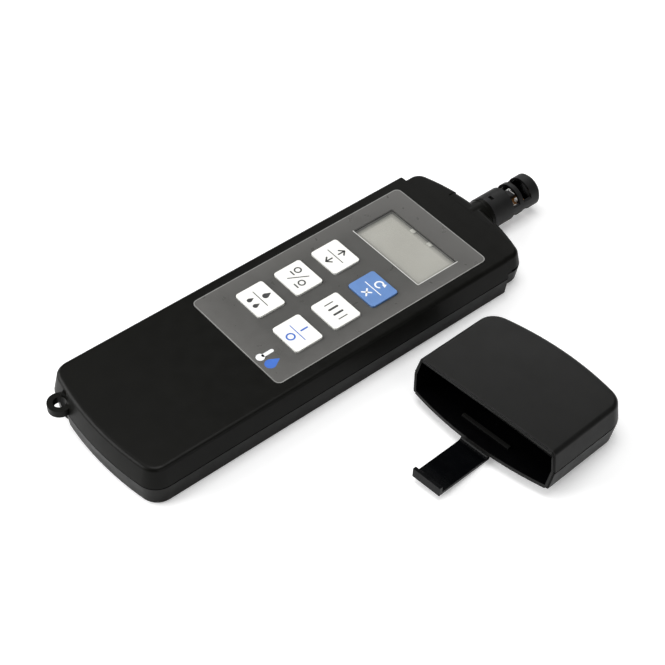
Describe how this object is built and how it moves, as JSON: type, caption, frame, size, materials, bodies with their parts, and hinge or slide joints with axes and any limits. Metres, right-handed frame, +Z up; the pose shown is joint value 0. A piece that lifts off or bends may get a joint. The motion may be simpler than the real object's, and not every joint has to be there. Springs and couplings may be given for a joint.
{
  "type": "digital thermo-hygrometer",
  "caption": "Pocket digital thermo-hygrometer in black plastic, keypad and display on its face, slotted sensor probe at one end and its pulled-off cap with a pocket clip lying beside it.",
  "frame": {"origin": "middle of the meter body's flat back face, half way between its bowed end and the step where the cap seats", "axes": "+Z up out of the face, +Y along the meter towards the probe, +X to the reader's right"},
  "size_m": [0.1256, 0.1865, 0.019],
  "materials": {
    "black_plastic": "satin black ABS with a fine texture",
    "grey_film": "semi-gloss grey printed film",
    "clear_window": "clear polyester window",
    "white_rubber": "matt white key rubber",
    "blue_rubber": "matt blue key rubber",
    "grey_silicone": "soft silicone",
    "carbon_rubber": "carbon loaded contact rubber",
    "green_board": "glass fibre board with solder mask",
    "chip_black": "moulded epoxy",
    "nickel": "nickel plated steel",
    "display_glass": "liquid crystal glass, greenish grey",
    "reflector_film": "dull silver reflector film",
    "pale_plastic": "pale moulded plastic",
    "cell_sleeve": "plain dark shrink sleeve",
    "amber_film": "amber polyimide ribbon",
    "probe_plastic": "satin dark grey plastic",
    "gold_board": "gold plated sensor carrier",
    "white_ceramic": "glazed white sensor body"
  },
  "bodies": {
    "meter": {"front_housing": "black_plastic", "back_housing": "black_plastic", "keypad_film": "grey_film", "display_window": "clear_window", "key_mat": "grey_silicone", "contact_pills": "carbon_rubber", "main_board": "green_board", "controller_chip": "chip_black", "timing_crystal": "nickel", "storage_capacitor": "chip_black", "display_front_glass": "display_glass", "display_rear_glass": "display_glass", "display_reflector": "reflector_film", "display_frame": "pale_plastic", "display_connectors": "grey_silicone", "board_screws": "nickel", "housing_screws": "nickel", "battery_cells": "cell_sleeve", "cell_nubs": "nickel", "battery_contacts": "nickel", "battery_springs": "nickel", "sensor_socket": "pale_plastic", "sensor_ribbon": "amber_film", "probe_base": "probe_plastic", "probe_sleeve": "probe_plastic", "sensor_board": "gold_board", "humidity_sensor": "white_ceramic", "temperature_sensor": "white_ceramic"},
    "power_key": {"key_power": "white_rubber"},
    "hold_key": {"key_hold": "white_rubber"},
    "clear_key": {"key_clear": "blue_rubber"},
    "dew_point_key": {"key_dew_point": "white_rubber"},
    "units_key": {"key_units": "white_rubber"},
    "max_min_key": {"key_max_min": "white_rubber"},
    "cell_door": {"battery_door": "black_plastic"},
    "probe_cap": {"cap_upper_shell": "black_plastic", "cap_lower_shell": "black_plastic", "pocket_clip": "black_plastic", "clip_rivets": "black_plastic"}
  },
  "joints": [
    {"name": "power_press", "type": "slide", "parent": "meter", "child": "power_key", "axis": [0, 0, -1], "range_m": [0, 0.0006], "stiffness_N_per_m": 2000},
    {"name": "hold_press", "type": "slide", "parent": "meter", "child": "hold_key", "axis": [0, 0, -1], "range_m": [0, 0.0006], "stiffness_N_per_m": 2000},
    {"name": "clear_press", "type": "slide", "parent": "meter", "child": "clear_key", "axis": [0, 0, -1], "range_m": [0, 0.0006], "stiffness_N_per_m": 2000},
    {"name": "dew_point_press", "type": "slide", "parent": "meter", "child": "dew_point_key", "axis": [0, 0, -1], "range_m": [0, 0.0006], "stiffness_N_per_m": 2000},
    {"name": "units_press", "type": "slide", "parent": "meter", "child": "units_key", "axis": [0, 0, -1], "range_m": [0, 0.0006], "stiffness_N_per_m": 2000},
    {"name": "max_min_press", "type": "slide", "parent": "meter", "child": "max_min_key", "axis": [0, 0, -1], "range_m": [0, 0.0006], "stiffness_N_per_m": 2000},
    {"name": "door_hinge", "type": "hinge", "parent": "meter", "child": "cell_door", "pos_m": [0, -0.017, 0.0013], "axis": [1, 0, 0], "range_deg": [0, 90]},
    {"name": "cap_lift", "type": "slide", "parent": "meter", "child": "probe_cap", "axis": [0, 0, 1], "range_m": [0, 0.05]}
  ]
}
